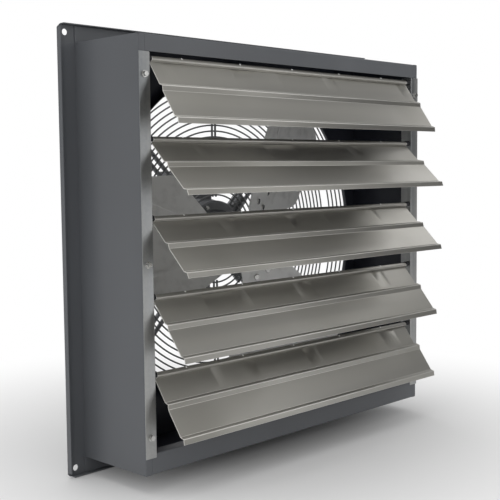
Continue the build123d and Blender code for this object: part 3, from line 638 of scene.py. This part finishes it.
@dataclass(frozen=True)
class Studio:
    """Camera, lamps, floor and background, in metres and degrees.

    The world's light falls on everything. The other lights are what reflections find: in the ceiling, in front,
    and in the backdrop that stands towards one direction. The edges are where one gives way to the next, as
    parts of a unit direction.
    """

    eye: Triple = (-1.2527, -1.2690, 0.1330)
    yaw: float = 45.46
    pitch: float = 4.87
    roll: float = -0.553
    lens: float = 69.67
    sensor: float = 36.0
    sight: Span = (0.05, 100.0)
    world_light: float = 0.6
    ceiling_light: float = 0.315
    ceiling_edge: Span = (0.28, 0.52)
    front_light: float = 0.05
    backdrop_light: float = 0.85
    backdrop_edge: Span = (0.3, 0.9)
    backdrop: Triple = (0.707, 0.707, 0.0)
    floor_height: float = -0.3592
    floor_rings: tuple[float, ...] = (1.0, 2.5, 5.0, 12.0)
    floor_sides: int = 96
    floor_tone: float = 0.68
    floor_fades: Span = (0.36, 1.0)
    lamps: tuple[Lamp, ...] = (
        Lamp("overhead", (-0.3, 0.1, 2.4), 2.4, 2.4, 26.0),
        Lamp("left_front", (-2.6, -1.1, 1.0), 1.8, 1.8, 12.0),
        Lamp("left_back", (-2.2, 2.0, 0.2), 1.2, 1.2, 2.6),
        Lamp("room_side", (0.7, 2.4, 1.3), 2.0, 2.0, 16.0, (0.0, 0.1, 0.0)),
        Lamp("right_card", (0.95, -0.25, 0.47), 0.32, 0.31, 0.32, (0.3, -0.2, 0.0)),
        Lamp("front_card", (0.38, -0.98, 0.1), 0.36, 1.3, 1.4, (-0.3, -0.2, 0.0)),
        Lamp("low_card", (0.8, -0.85, 0.64), 0.4, 0.35, 0.21, (-0.2, -0.25, -0.3)),
    )

    def camera(self) -> None:
        """The photograph's camera, turned by yaw from +Y to +X, pitched down and rolled."""
        yaw, pitch, roll = (math.radians(angle) for angle in (self.yaw, self.pitch, self.roll))
        ahead = np.array([math.sin(yaw) * math.cos(pitch), math.cos(yaw) * math.cos(pitch), -math.sin(pitch)])
        level = np.array([math.cos(yaw), -math.sin(yaw), 0.0])
        above = np.cross(level, ahead)
        right = math.cos(roll) * level + math.sin(roll) * above
        up = math.cos(roll) * above - math.sin(roll) * level
        data = bpy.data.cameras.new("camera")
        data.lens = self.lens
        data.sensor_width = self.sensor
        data.clip_start, data.clip_end = self.sight
        seat = put(data)
        turn = np.stack([right, up, -ahead], axis=1)
        seat.matrix_world = Matrix.Translation(self.eye) @ Matrix(turn.tolist()).to_4x4()
        bpy.context.scene.camera = seat

    def background(self) -> None:
        """White for the camera; in reflections a white backdrop under a grey ceiling; plain grey as light."""
        world = bpy.data.worlds.new("studio")
        bpy.context.scene.world = world
        graph = Graph(world)
        rays = ("Is Camera Ray", "Is Transmission Ray", "Is Glossy Ray")
        seen, passed, mirrored = (graph.node("LightPath", output=ray) for ray in rays)
        way = graph.node("TexCoord", output="Generated")
        height = graph.node("SeparateXYZ", inputs={0: way}, output="Z")
        towards = graph.node("VectorMath", {"operation": "DOT_PRODUCT"}, {0: way, 1: self.backdrop}, "Value")
        wall = towards.step(*self.backdrop_edge, self.front_light, self.backdrop_light)
        share = height.step(*self.ceiling_edge)
        studio_wall = wall * (1.0 - share) + share * self.ceiling_light
        lit = mirrored * (studio_wall - self.world_light) + self.world_light
        clear = seen.larger(passed)
        strength = clear * (1.0 - lit) + lit
        white = graph.node("Background", inputs={"Color": WHITE, "Strength": strength})
        graph.node("OutputWorld", inputs={"Surface": white})

    def floor(self) -> None:
        """Round pale floor that fades into the white background."""
        angle, reach = full_turn(self.floor_sides), np.array(self.floor_rings)[:, None]
        level = np.full((len(reach), len(angle)), self.floor_height)
        rings = np.stack([reach * np.cos(angle), reach * np.sin(angle), level], -1)
        floor = grid_object("floor", rings, fan_start=(0.0, 0.0, self.floor_height))
        made = bpy.data.materials.new("pale_floor")
        graph = Graph(made)
        spot = graph.node("TexCoord", output="Object")
        away = graph.node("VectorMath", {"operation": "LENGTH"}, {0: spot}, "Value")
        seen = graph.node("LightPath", output="Is Camera Ray")
        tone = (self.floor_tone, self.floor_tone, self.floor_tone, 1.0)
        pale = graph.node("BsdfDiffuse", inputs={"Color": tone})
        white = graph.node("Emission", inputs={"Color": WHITE, "Strength": 1.0})
        fade = away.step(*self.floor_fades) * seen
        mixed = graph.node("MixShader", inputs={0: fade, 1: pale, 2: white})
        graph.node("OutputMaterial", inputs={"Surface": mixed})
        floor.data.materials.append(made)

    def build(self) -> None:
        """Makes the whole studio."""
        bpy.context.scene.view_settings.view_transform = "Standard"
        self.camera()
        for lamp in self.lamps:
            lamp.build()
        self.background()
        self.floor()
        log.info("studio: camera, %d lamps, floor and background", len(self.lamps))


def grid_object(
    name: str,
    grid: np.ndarray,
    fan_start: Sequence[float] | None = None,
    fan_end: Sequence[float] | None = None,
    extra_faces: np.ndarray | None = None,
) -> bpy.types.Object:
    """Mesh object from a grid of points whose last column joins the first.

    Args:
        name: name of the object.
        grid: points as rows, columns, 3, in metres.
        fan_start: point that closes the first row as a fan.
        fan_end: point that closes the last row as a fan.
        extra_faces: further quads of point numbers, such as end caps.

    Returns:
        The object, with its faces outwards and smooth shading.
    """
    rows, columns = grid.shape[:2]
    number = np.arange(rows * columns).reshape(rows, columns)
    across = np.hstack([number, number[:, :1]])
    quads = np.stack([across[:-1, :-1], across[:-1, 1:], across[1:, 1:], across[1:, :-1]], -1).reshape(-1, 4)
    if extra_faces is not None:
        quads = np.vstack([quads, extra_faces])
    points = grid.reshape(-1, 3)
    triangles = np.zeros((0, 3), int)
    for tip, row, forward in ((fan_start, number[0], False), (fan_end, number[-1], True)):
        if tip is None:
            continue
        points = np.vstack([points, tip])
        here = np.full(columns, len(points) - 1)
        ahead = np.roll(row, -1)
        fan = np.stack([here, row, ahead], -1) if forward else np.stack([here, ahead, row], -1)
        triangles = np.vstack([triangles, fan])
    mesh = surface(name, points, [*quads.tolist(), *triangles.tolist()])
    cut = points[np.vstack([quads[:, [0, 1, 2]], quads[:, [0, 2, 3]], triangles])]
    volume = np.einsum("ij,ij->i", cut[:, 0], np.cross(cut[:, 1], cut[:, 2])).sum()
    if volume < 0.0:
        mesh.flip_normals()
    mesh.set_sharp_from_angle(angle=SHEET_SHARP)
    return put(mesh)


def joined(shapes: Sequence[bpy.types.Object]) -> bpy.types.Object:
    """Puts several meshes into the first one.

    Args:
        shapes: objects at the origin.

    Returns:
        The first object with all meshes.
    """
    merged = bmesh.new()
    for shape in shapes:
        merged.from_mesh(shape.data)
    merged.to_mesh(shapes[0].data)
    merged.free()
    for shape in shapes[1:]:
        bpy.data.objects.remove(shape)
    return shapes[0]


def rounded(corners: Sequence[Span], radius: float, steps: int, held: float = 0.4) -> np.ndarray:
    """Polyline with an arc at each inner corner.

    Each arc touches both runs: its ends lie radius times the tangent of half the turn from the corner. A point
    just beyond each end keeps the flats flat when they are shaded smooth.

    Args:
        corners: points of the polyline, in mm.
        radius: radius of the arcs, in mm.
        steps: points on an arc.
        held: how far beyond an arc's end that point lies, in mm.

    Returns:
        Points of the rounded line.
    """
    line = np.array(corners, float)
    pieces = [line[:1]]
    for before, here, after in zip(line[:-2], line[1:-1], line[2:]):
        back = (before - here) / np.linalg.norm(before - here)
        ahead = (after - here) / np.linalg.norm(after - here)
        turn = math.pi - math.acos(float(np.clip(back @ ahead, -1.0, 1.0)))
        reach = radius * math.tan(turn / 2.0)
        middle = (back + ahead) / np.linalg.norm(back + ahead)
        centre = here + middle * radius / math.cos(turn / 2.0)
        start, end = here + back * reach - centre, here + ahead * reach - centre
        share = np.linspace(0.0, 1.0, steps)[:, None]
        arc = (np.sin((1.0 - share) * turn) * start + np.sin(share * turn) * end) / math.sin(turn)
        pieces += [(here + back * (reach + held))[None], centre + arc, (here + ahead * (reach + held))[None]]
    pieces.append(line[-1:])
    return np.vstack(pieces)


class Axis(IntEnum):
    """The part's axes: X across, Y from the front to the room, Z up."""

    X = 0
    Y = 1
    Z = 2


@dataclass(frozen=True)
class Fold:
    """A fold line of sheet metal, whose edge keeps a place on X or Z and a depth on Y, in mm."""

    axis: Axis
    place: float
    depth: float

    def holds(self, ends: np.ndarray) -> np.ndarray:
        """Which edges lie on the fold.

        Args:
            ends: both ends of each edge, as edges, 2, 3, in mm.

        Returns:
            True for each edge whose ends are both near the place and the depth.
        """
        near_place = np.abs(ends[:, :, self.axis] - self.place) < FOLD_REACH
        near_depth = np.abs(ends[:, :, Axis.Y] - self.depth) < FOLD_REACH
        return (near_place & near_depth).all(axis=1)


@dataclass(frozen=True)
class Eased:
    """A CAD node's own shape with its bends rounded and its edges broken, as the press or the tumbler leaves them.

    The edge and the bend are widths in mm, each with its number of segments. A free bevel isn't held back where
    two of them meet.
    """

    node: str
    finish: Palette
    edge: float = 0.0
    body: str = "housing"
    bend: float = 0.0
    folds: tuple[Fold, ...] = ()
    segments: int = 2
    bend_segments: int = 4
    free: bool = False

    def build(self, nodes: Nodes) -> None:
        """Copies the node's mesh, rounds its folds, eases its other sharp edges, and stands it in for the node.

        Args:
            nodes: CAD nodes by name.
        """
        shell = bmesh.new()
        shell.from_mesh(nodes[self.node].data)
        bmesh.ops.remove_doubles(shell, verts=shell.verts, dist=ONE_POINT)
        bmesh.ops.dissolve_limit(shell, angle_limit=LEVEL, verts=shell.verts, edges=shell.edges)
        if self.folds:
            self._round_folds(shell)
            bmesh.ops.remove_doubles(shell, verts=shell.verts, dist=ONE_BENT_POINT)
        bmesh.ops.dissolve_degenerate(shell, dist=SHORT, edges=shell.edges)
        mesh = bpy.data.meshes.new(f"{self.node}_eased")
        shell.to_mesh(mesh)
        shell.free()
        smooth(mesh)
        mesh.set_sharp_from_angle(angle=EASED_SHARP)
        piece = put(mesh)
        if self.edge:
            bevel = piece.modifiers.new("eased_edges", "BEVEL")
            bevel.width = self.edge * MM
            bevel.segments = self.segments
            bevel.limit_method = "ANGLE"
            bevel.angle_limit = EASED_SHARP
            bevel.use_clamp_overlap = not self.free
        flats = piece.modifiers.new("even_flats", "WEIGHTED_NORMAL")
        flats.mode = "FACE_AREA"
        flats.keep_sharp = True
        settle(piece, self.finish, self.body, self.node)

    def _round_folds(self, shell: bmesh.types.BMesh) -> None:
        """Rounds the edges that lie on a fold line.

        Args:
            shell: mesh in metres.
        """
        shell.edges.ensure_lookup_table()
        ends = np.array([[end.co[:] for end in edge.verts] for edge in shell.edges]) / MM
        chosen = np.any([fold.holds(ends) for fold in self.folds], axis=0)
        bent = [shell.edges[number] for number in np.flatnonzero(chosen)]
        width, segments = self.bend * MM, self.bend_segments
        bmesh.ops.bevel(shell, geom=bent, offset=width, segments=segments, profile=0.5, affect="EDGES")


@dataclass(frozen=True)
class WallBox:
    """Painted box with its flange panel and the shutter's side channels. Sizes are in mm."""

    half_width: float = 350.0
    half_height: float = 330.0
    face: float = -157.0
    flange_half_x: float = 382.0
    flange_half_z: float = 358.0
    channel_inner: float = 329.0
    channel_face: float = -158.2
    panel_back: float = 1.6
    ledge_top: float = -298.0
    bend: float = 2.4
    edge: float = 0.35
    channel_bend: float = 1.6
    channel_edge: float = 0.25
    screw_edge: float = 0.5

    def panel(self, name: str, *folds: Fold) -> Eased:
        """A painted panel that is bent along its folds."""
        return Eased(name, Palette.HOUSING, self.edge, bend=self.bend, folds=folds)

    def build(self, nodes: Nodes) -> None:
        """Makes the four walls, the flange panel, both channels and their screws.

        Args:
            nodes: CAD nodes by name.
        """
        for side, name in ((-1.0, "left"), (1.0, "right")):
            self.panel(f"{name}_side_panel", Fold(Axis.X, side * self.half_width, self.face)).build(nodes)
            channel = f"{name}_shutter_channel"
            inner = (Fold(Axis.X, side * self.channel_inner, self.channel_face),)
            Eased(channel, Palette.CHANNEL, self.channel_edge, bend=self.channel_bend, folds=inner).build(nodes)
        self.panel("top_panel", Fold(Axis.Z, self.half_height, self.face)).build(nodes)
        ledge = Fold(Axis.Z, self.ledge_top, self.face)
        self.panel("bottom_panel", Fold(Axis.Z, -self.half_height, self.face), ledge).build(nodes)
        rims = ((Axis.X, self.flange_half_x), (Axis.Z, self.flange_half_z))
        lips = (Fold(axis, side * half, self.panel_back) for axis, half in rims for side in (-1.0, 1.0))
        self.panel("orifice_panel", *lips).build(nodes)
        Eased("channel_screws", Palette.ZINC, self.screw_edge).build(nodes)


@dataclass(frozen=True)
class Louver:
    """One louver's sheet: rolled top edge, flats, rib and lip, with its roll's crimps. Sizes are in mm.

    Places along the blade are counted from its pivot down. The base is how far the sheet's middle lies out from
    the pivot. The roll is set back at both ends down to the notch, and the right end down to the shoulder. The
    rib has its start, top, end and height, and the lip its start, top and height. A wave has its count over the
    louver's length and its height.
    """

    number: int
    angle: float
    pivot_z: float
    pivot_y: float = -151.4
    half_length: float = 326.0
    roll_left: float = -323.0
    roll_right: float = 318.0
    sheet: float = 0.9
    base: float = -2.95
    length: float = 117.0
    shoulder: float = 44.2
    notch: float = 6.0
    notch_gap: float = 0.01
    hem: float = 4.9
    hem_gap: float = 0.95
    hem_bend: float = 1.5
    curl_steps: int = 18
    rib: tuple[float, float, float, float] = (45.98, 51.25, 58.15, 4.0)
    lip: Triple = (103.43, 109.16, 4.4)
    bend: float = 1.0
    bend_steps: int = 6
    inset: float = 0.3
    rim: float = 0.6
    rim_share: float = 0.0018
    columns: int = 73
    seed: int = 40
    waves: tuple[Span, ...] = ((1.6, 0.22), (3.7, 0.07), (7.3, 0.02))
    wave_slant: float = 1.5
    # Where the painted highlight falls: the least turn at a point, its share on the roll, and where along the
    # blade it starts
    painted_highlight_turn: float = 1.5
    painted_highlight_on_roll: float = 0.4
    painted_highlight_from: float = 0.8
    crimp_count: int = 5
    crimp_pitch: float = 125.0
    crimp_first: float = -263.0
    crimp_radius: float = 1.8
    crimp_height: float = 0.85
    crimp_sunk: float = 0.1
    crimp_lean: float = 36.0
    crimp_sides: int = 12
    crimp_rows: int = 4

    def section(self) -> np.ndarray:
        """Middle line of the sheet as (along the blade, out from the pivot), in mm.

        The curl is half a circle of the roll's middle radius, from the back over the top to the front. Its front
        is flat, parallel to the blade, and turns back to the blade's front; from there on the bends are arcs.

        Returns:
            Points of the line, from the hem's edge to the lip's.
        """
        base, radius = self.base, -self.base
        hem = [(self.hem, base + self.hem_gap), (self.hem - self.inset, radius), (0.0, radius)]
        front = rounded(hem, self.hem_bend, self.bend_steps)
        turn = np.linspace(0.5 * math.pi, 1.5 * math.pi, self.curl_steps)[1:-1]
        curl = radius * np.stack([np.cos(turn), np.sin(turn)], -1)
        rib_start, rib_top, rib_end, rib_height = self.rib
        lip_start, lip_top, lip_height = self.lip
        corners = [(self.inset, base), (rib_start, base), (rib_top, base + rib_height), (rib_end, base)]
        corners += [(lip_start, base), (lip_top, base + lip_height)]
        corners.append((self.length - self.inset, base + self.inset))
        flat = rounded(corners, self.bend, self.bend_steps)
        last = flat[-1] + (flat[-2] - flat[-1]) * self.rim / np.linalg.norm(flat[-2] - flat[-1])
        flat = np.insert(flat, -1, last, axis=0)
        cuts = (self.notch - self.notch_gap, self.notch + self.notch_gap, self.shoulder)
        return np.vstack([front, curl, flat[:1], [(along, base) for along in cuts], flat[1:]])

    def ends(self, line: np.ndarray) -> np.ndarray:
        """Low and high X of the sheet, whose roll and upper flat are shorter than the rest.

        Args:
            line: points of the section.

        Returns:
            Both ends at each point, in mm.
        """
        along = line[:, 0]
        at_notch = (np.abs(along - self.notch + self.notch_gap) < EQUAL) & (line[:, 1] == self.base)
        roll = np.arange(len(along)) <= int(np.argmax(at_notch))
        low = np.where(roll, self.roll_left, -self.half_length)
        high = np.where(roll | (along <= self.shoulder + EQUAL), self.roll_right, self.half_length)
        return np.stack([low, high], -1)

    def spread(self, points: np.ndarray) -> np.ndarray:
        """Turns section points by the blade's angle about its pivot.

        Args:
            points: points as (along, out), in mm.

        Returns:
            The same points as (Y, Z) of the part.
        """
        turn = math.radians(self.angle)
        y = self.pivot_y - points[..., 0] * math.sin(turn) - points[..., 1] * math.cos(turn)
        z = self.pivot_z - points[..., 0] * math.cos(turn) + points[..., 1] * math.sin(turn)
        return np.stack([y, z], -1)

    def bow(self, along: np.ndarray, across: np.ndarray) -> np.ndarray:
        """Unevenness of the thin sheet between its bends.

        Sine waves along X with seeded phases, each times the sine of the place between the roll and the lip, so
        that the roll and the lip stay straight.

        Args:
            along: places along the blade, in mm.
            across: shares of the louver's length.

        Returns:
            How far the sheet stands off its section, as across by along, in mm.
        """
        chance = np.random.default_rng(self.seed + self.number)
        free = np.sin(np.pi * np.clip(along / self.lip[0], 0.0, 1.0))
        x = across[:, None]
        slant = self.wave_slant * along[None, :] / self.length
        waves = sum(
            height * np.sin(2.0 * math.pi * (count * x + chance.random()) + slant) for count, height in self.waves
        )
        return waves * np.where(along < self.notch, 0.0, free)[None, :]

    def painted_highlight_share(self, line: np.ndarray) -> np.ndarray:
        """Share of the painted highlight along the section: full where it bends below the roll and at its last
        edge, less on the roll's turn.

        Args:
            line: points of the section.

        Returns:
            A share at each point.
        """
        run = np.diff(line, axis=0)
        heading = np.unwrap(np.arctan2(run[:, 1], run[:, 0]))
        turn = np.concatenate([[1.0], np.abs(np.diff(heading)), [1.0]])
        amount = np.where(line[:, 0] > self.notch, 1.0, self.painted_highlight_on_roll)
        return (turn > math.radians(self.painted_highlight_turn)) * amount * (line[:, 0] > self.painted_highlight_from)

    def blade(self) -> bpy.types.Object:
        """The section given the sheet's thickness and carried along X.

        A point is the section's point plus or minus half the thickness along the line's normal, moved along that
        normal by the bow, and along X to the share of its own two ends. Each point keeps its share of the painted
        highlight, and the sheet's two ends take all of it.

        Returns:
            The sheet.
        """
        line = self.section()
        path, ends, painted_highlight_share = self.spread(line), self.ends(line), self.painted_highlight_share(line)
        inner = np.linspace(self.rim_share, 1.0 - self.rim_share, self.columns)
        across = np.concatenate([[0.0], inner, [1.0]])
        bow = self.bow(line[:, 0], across)
        run = np.gradient(path, axis=0)
        run /= np.linalg.norm(run, axis=1, keepdims=True)
        normal = np.stack([run[:, 1], -run[:, 0]], -1)
        half = normal * self.sheet / 2.0
        loop = np.vstack([path + half, (path - half)[::-1]])
        reach = np.vstack([ends, ends[::-1]])
        x = reach[:, 0] + (reach[:, 1] - reach[:, 0]) * across[:, None]
        y_and_z = loop + np.hstack([bow, bow[:, ::-1]])[..., None] * np.vstack([normal, normal[::-1]])
        grid = np.concatenate([x[..., None], y_and_z], -1)
        near, size = np.arange(len(path) - 1), len(loop)
        cap = np.stack([near, near + 1, size - 2 - near, size - 1 - near], -1)
        far = (cap + (len(across) - 1) * size)[:, ::-1]
        sheet = grid_object(f"louver_sheet_{self.number}", grid * MM, extra_faces=np.vstack([cap, far]))
        painted_highlight = np.tile(np.concatenate([painted_highlight_share, painted_highlight_share[::-1]]), (len(across), 1))
        # The sheet's two ends take the full painted highlight
        painted_highlight[[0, -1]] = 1.0
        values = painted_highlight.astype(np.float32).ravel()
        sheet.data.attributes.new("painted_highlight_share", "FLOAT", "POINT").data.foreach_set("value", values)
        return sheet

    def crimps(self) -> bpy.types.Object:
        """Small round crimps on top of the roll.

        Each is a shallow dome, radius times (cosine, sine) of its latitude, whose sine is made less, leant
        forward about X and let into the roll.

        Returns:
            All the crimps as one object.
        """
        radius, top = self.crimp_radius, self.crimp_height * self.crimp_radius
        latitude = np.linspace(0.0, 0.5 * math.pi, self.crimp_rows + 1)[:-1, None]
        longitude = full_turn(self.crimp_sides)[None, :]
        x, y = radius * np.cos(latitude) * np.cos(longitude), radius * np.cos(latitude) * np.sin(longitude)
        dome = np.stack([x, y, top * np.sin(latitude) + np.zeros_like(longitude)], -1)
        roll = self.sheet / 2.0 - self.base
        sunk = math.sqrt(roll**2 - radius**2) - self.crimp_sunk
        lean = math.radians(self.crimp_lean)
        sine, cosine = math.sin(lean), math.cos(lean)
        leant = np.array([[1.0, 0.0, 0.0], [0.0, cosine, sine], [0.0, -sine, cosine]])
        tip = np.array([0.0, 0.0, top]) @ leant
        name, shapes = f"louver_crimps_{self.number}", []
        for place in self.crimp_first + self.crimp_pitch * np.arange(self.crimp_count):
            seat = np.array([place, self.pivot_y - sunk * sine, self.pivot_z + sunk * cosine])
            shapes.append(grid_object(name, (dome @ leant + seat) * MM, seat * MM, (tip + seat) * MM))
        return joined(shapes)

    def build(self) -> None:
        """Makes the sheet and its crimps."""
        body = f"louver_{self.number}"
        settle(self.blade(), Palette.LOUVER, body, f"louver_blade_{self.number}")
        # The crimps take the near-white finish, a painted glint
        settle(self.crimps(), Palette.CRIMP, body)


@dataclass(frozen=True)
class Shutter:
    """The five gravity louvers, each at its angle off hanging straight. Sizes are in mm and degrees."""

    angles: tuple[float, ...] = (34.5, 46.5, 45.0, 38.5, 35.5)
    top_pivot: float = 295.6
    pitch: float = 118.5

    def build(self) -> None:
        """Makes the louvers from the top down."""
        for index, angle in enumerate(self.angles):
            Louver(index + 1, angle, self.top_pivot - self.pitch * index).build()


@dataclass(frozen=True)
class FanAndMotor:
    """Propeller, motor, supports, guard fittings and wiring box, with the widths of their eased edges in mm."""

    blades: int = 3
    cast: tuple[str, ...] = ("motor_front_bell", "motor_rear_bell", "motor_shell")
    box: tuple[str, ...] = ("conduit_box", "conduit_box_cover")
    gland: tuple[str, ...] = ("cable_gland", "gland_locknut")
    supports: tuple[str, ...] = ("upper_right", "upper_left", "lower_left", "lower_right")
    fasteners: tuple[str, ...] = (
        "guard_screws", "support_foot_bolts", "support_foot_nuts", "support_band_screws", "clamp_band_bolt",
        "motor_through_bolts", "motor_through_nuts", "conduit_cover_screws",
    )
    rivet_edge: float = 0.8
    cast_edge: float = 0.9
    box_edge: float = 0.6
    gland_edge: float = 0.25
    clip_edge: float = 0.4
    fastener_edge: float = 0.4

    def pieces(self) -> list[Eased]:
        """Lists the pieces of the fan and its motor.

        Returns:
            Every piece, in the order of making.
        """
        made = [Eased(f"propeller_blade_{n + 1}", Palette.BLADE, body="rotor") for n in range(self.blades)]
        made.append(Eased("propeller_spider", Palette.CAST, body="rotor"))
        made.append(Eased("blade_rivets", Palette.ZINC, self.rivet_edge, "rotor", segments=3))
        made += [Eased(name, Palette.MOTOR, self.cast_edge) for name in self.cast]
        made += [Eased(name, Palette.MOTOR, self.box_edge) for name in self.box]
        made += [Eased(name, Palette.GLAND, self.gland_edge, free=True) for name in self.gland]
        made += [Eased(f"motor_support_{name}", Palette.SUPPORT) for name in self.supports]
        made.append(Eased("motor_clamp_band", Palette.SUPPORT))
        made.append(Eased("guard_clips", Palette.WIRE, self.clip_edge))
        made += [Eased(name, Palette.ZINC, self.fastener_edge) for name in self.fasteners]
        return made

    def build(self, nodes: Nodes) -> None:
        """Makes every piece from the CAD nodes by name."""
        for piece in self.pieces():
            piece.build(nodes)


@dataclass(frozen=True)
class GuardWelds:
    """Resistance-weld nuggets where the guard's end rings cross its twin struts. Sizes are in mm."""

    first_ring: float = 82.7
    last_ring: float = 309.5
    rings: int = 22
    struts: int = 4
    strut_half: float = 4.0
    depth: float = 54.75
    radius: float = 1.7
    flatness: float = 0.75
    sides: int = 6

    def places(self) -> np.ndarray:
        """Middles of the nuggets.

        The run along a strut to a ring is the root of the ring's radius squared less half the gap squared.

        Returns:
            Points as rows, in mm.
        """
        ring = np.linspace(self.first_ring, self.last_ring, self.rings)
        run = np.sqrt(ring**2 - self.strut_half**2)
        spots = []
        for turn in np.arange(self.struts) * 2.0 * math.pi / self.struts:
            for side in (-self.strut_half, self.strut_half):
                x = run * math.cos(turn) - side * math.sin(turn)
                z = run * math.sin(turn) + side * math.cos(turn)
                spots.append(np.stack([x, np.full_like(x, self.depth), z], -1))
        return np.vstack(spots)

    def nugget(self) -> tuple[np.ndarray, list[np.ndarray]]:
        """A closed spheroid of three rings and two poles: radius times (cosine, sine) of the latitude.

        Returns:
            Its points in mm about its middle, and its faces as arrays of point numbers.
        """
        sides, flat = self.sides, self.flatness
        latitude = np.linspace(-0.5 * math.pi, 0.5 * math.pi, 5)[1:-1]
        longitude = full_turn(sides)
        x = np.outer(np.cos(latitude), np.cos(longitude))
        y = flat * np.outer(np.sin(latitude), np.ones(sides))
        z = np.outer(np.cos(latitude), np.sin(longitude))
        rings, poles = np.stack([x, y, z], -1).reshape(-1, 3), [[0.0, -flat, 0.0], [0.0, flat, 0.0]]
        near = np.arange(sides)
        ahead, low, high = (near + 1) % sides, 3 * sides, 3 * sides + 1
        wall = np.stack([near, sides + near, sides + ahead, ahead], -1)
        start = np.stack([near, ahead, np.full(sides, low)], -1)
        end = np.stack([2 * sides + ahead, 2 * sides + near, np.full(sides, high)], -1)
        return np.vstack([rings, poles]) * self.radius, [wall, wall + sides, start, end]

    def build(self) -> None:
        """Makes one small round nugget at each crossing, all in one piece."""
        places, (unit, parts) = self.places(), self.nugget()
        points = (places[:, None] + unit[None]).reshape(-1, 3) * MM
        shifts = range(0, len(points), len(unit))
        faces = [face for shift in shifts for part in parts for face in (part + shift).tolist()]
        settle(put(surface("guard_welds", points, faces)), Palette.WIRE, "housing")


def main() -> None:
    """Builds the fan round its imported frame."""
    logging.basicConfig(level=logging.INFO, format="%(name)s: %(message)s")
    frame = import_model()
    nodes = frame["nodes"]
    Studio().build()
    for finish, names in NODE_FINISHES.items():
        for name in names:
            dress(nodes[name], finish)
    WallBox().build(nodes)
    Shutter().build()
    FanAndMotor().build(nodes)
    GuardWelds().build()


if __name__ == "__main__":
    main()
